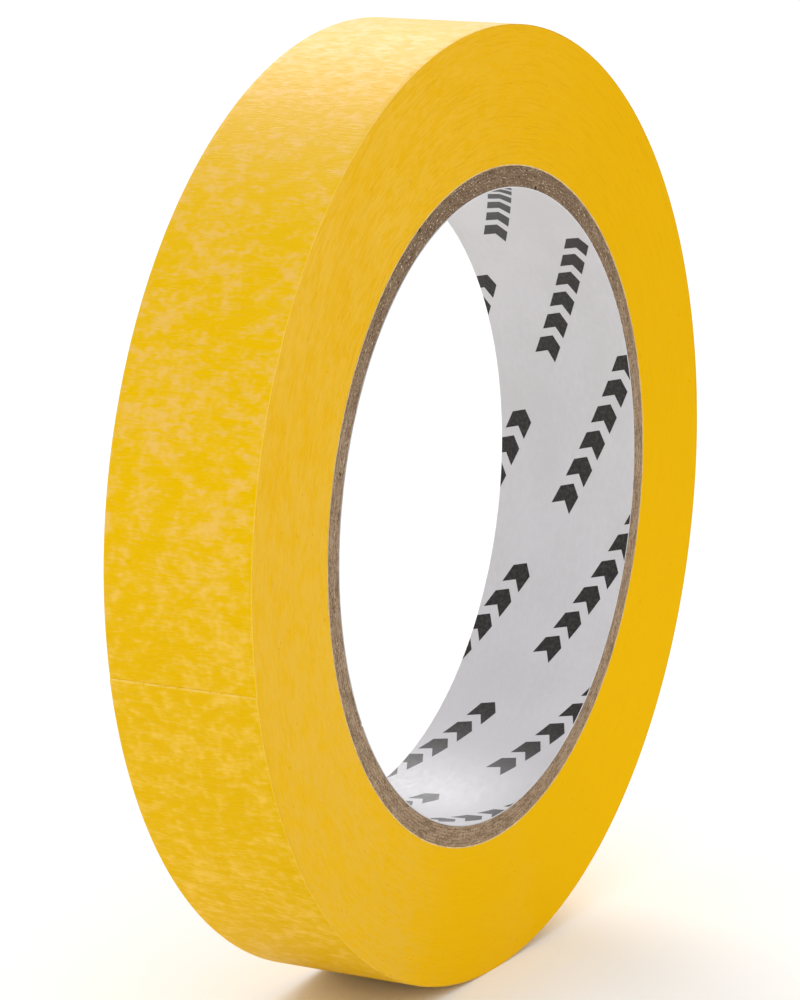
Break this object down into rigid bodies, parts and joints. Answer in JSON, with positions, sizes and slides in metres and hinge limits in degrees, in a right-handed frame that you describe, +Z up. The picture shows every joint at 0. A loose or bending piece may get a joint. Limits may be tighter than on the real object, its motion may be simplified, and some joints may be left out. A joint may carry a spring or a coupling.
{
  "type": "masking tape roll",
  "caption": "Roll of yellow washi-paper masking tape wound on a spiral-wound kraft core with a white printed liner; the cut end of the tape lifts and peels off the roll.",
  "frame": {"origin": "centre of the core's bore, halfway across the tape's width", "axes": "+Y along the roll's axis, from the seen face to the far face; +Z up, with the roll standing on its rim; the tape's cut end is on the -X side, a little below the middle, and points up"},
  "size_m": [0.1156, 0.019, 0.1157],
  "materials": {
    "liner_paper": "semi-gloss coated white paper with a repeated dark printed pattern",
    "kraft_board": "matt grey-brown kraft board, fibrous where it is cut",
    "wrap_paper": "matt pale paper",
    "wound_tape": "matt golden yellow, fine concentric lines of the wound tape's edges",
    "tape_backing": "slightly mottled, fibrous, semi-matt yellow washi paper",
    "tape_adhesive": "thin clear tacky film, satin, over the yellow paper"
  },
  "bodies": {
    "roll": {"core_liner": "liner_paper", "core_ply_1": "kraft_board", "core_ply_2": "kraft_board", "core_ply_3": "kraft_board", "core_ply_4": "kraft_board", "core_ply_5": "kraft_board", "core_ply_6": "kraft_board", "core_wrap": "wrap_paper", "tape_windings": "wound_tape", "outer_turn_adhesive": "tape_adhesive", "outer_turn_backing": "tape_backing"},
    "tape_end_1": {"tape_end_adhesive_1": "tape_adhesive", "tape_end_backing_1": "tape_backing"},
    "tape_end_2": {"tape_end_adhesive_2": "tape_adhesive", "tape_end_backing_2": "tape_backing"},
    "tape_end_3": {"tape_end_adhesive_3": "tape_adhesive", "tape_end_backing_3": "tape_backing"},
    "tape_end_4": {"tape_end_adhesive_4": "tape_adhesive", "tape_end_backing_4": "tape_backing"},
    "tape_end_5": {"tape_end_adhesive_5": "tape_adhesive", "tape_end_backing_5": "tape_backing"}
  },
  "joints": [
    {"name": "tape_end_peel", "type": "hinge", "parent": "roll", "child": "tape_end_1", "pos_m": [-0.04707, 0, -0.03378], "axis": [0, -1, 0], "range_deg": [0, 30]},
    {"name": "tape_end_bend_2", "type": "hinge", "parent": "tape_end_1", "child": "tape_end_2", "pos_m": [-0.04982, 0, -0.02959], "axis": [0, -1, 0], "range_deg": [0, 27]},
    {"name": "tape_end_bend_3", "type": "hinge", "parent": "tape_end_2", "child": "tape_end_3", "pos_m": [-0.05219, 0, -0.02518], "axis": [0, -1, 0], "range_deg": [0, 21]},
    {"name": "tape_end_bend_4", "type": "hinge", "parent": "tape_end_3", "child": "tape_end_4", "pos_m": [-0.05418, 0, -0.02059], "axis": [0, -1, 0], "range_deg": [0, 15]},
    {"name": "tape_end_bend_5", "type": "hinge", "parent": "tape_end_4", "child": "tape_end_5", "pos_m": [-0.05577, 0, -0.01584], "axis": [0, -1, 0], "range_deg": [0, 9]}
  ],
  "couplings": [
    {"joint": "tape_end_bend_2", "follows": "tape_end_peel", "ratio": 0.9},
    {"joint": "tape_end_bend_3", "follows": "tape_end_peel", "ratio": 0.7},
    {"joint": "tape_end_bend_4", "follows": "tape_end_peel", "ratio": 0.5},
    {"joint": "tape_end_bend_5", "follows": "tape_end_peel", "ratio": 0.3}
  ]
}
